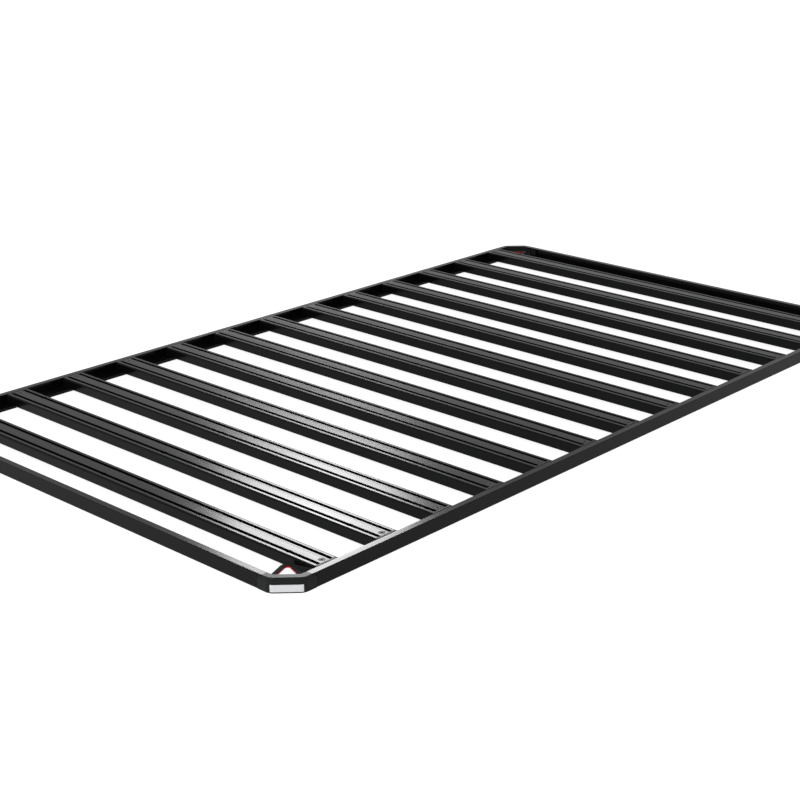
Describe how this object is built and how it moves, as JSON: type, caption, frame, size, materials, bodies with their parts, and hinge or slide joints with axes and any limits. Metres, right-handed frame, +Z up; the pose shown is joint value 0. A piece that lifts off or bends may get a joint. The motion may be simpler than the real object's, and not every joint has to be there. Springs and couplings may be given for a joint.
{
  "type": "flat platform roof rack",
  "caption": "Flat platform roof rack: extruded rails and cast corners with tie-down eyes, carrying a row of T-slot slats.",
  "frame": {"origin": "middle of the underside, on the plane that the rails rest on", "axes": "+X across the rack along the slats, +Y along the side rails, +Z up"},
  "size_m": [1.475, 2.605, 0.037],
  "materials": {
    "rail_coat": "satin black powder coat",
    "casting_coat": "fine textured black powder coat",
    "slat_coat": "satin black powder coat",
    "cap_plastic": "fine grained black plastic",
    "screw_steel": "black zinc",
    "liner_red": "satin red plastic",
    "plate_metal": "brushed, bare"
  },
  "bodies": {
    "root": {"side_rail_left": "rail_coat", "side_rail_right": "rail_coat", "end_rail_front": "rail_coat", "end_rail_rear": "rail_coat", "corner_casting_front_left": "casting_coat", "corner_casting_front_right": "casting_coat", "corner_casting_rear_left": "casting_coat", "corner_casting_rear_right": "casting_coat", "eye_liner_front_left": "liner_red", "eye_liner_front_right": "liner_red", "eye_liner_rear_left": "liner_red", "eye_liner_rear_right": "liner_red", "badge_plate_front_left": "plate_metal", "badge_plate_front_right": "plate_metal", "badge_plate_rear_left": "plate_metal", "badge_plate_rear_right": "plate_metal", "slat_01": "slat_coat", "slat_02": "slat_coat", "slat_03": "slat_coat", "slat_04": "slat_coat", "slat_05": "slat_coat", "slat_06": "slat_coat", "slat_07": "slat_coat", "slat_08": "slat_coat", "slat_09": "slat_coat", "slat_10": "slat_coat", "slat_11": "slat_coat", "slat_12": "slat_coat", "slat_13": "slat_coat", "slat_end_caps_left": "cap_plastic", "slat_end_caps_right": "cap_plastic", "slat_screws_left": "screw_steel", "slat_screws_right": "screw_steel", "corner_screws_front": "screw_steel", "corner_screws_rear": "screw_steel"}
  },
  "joints": []
}
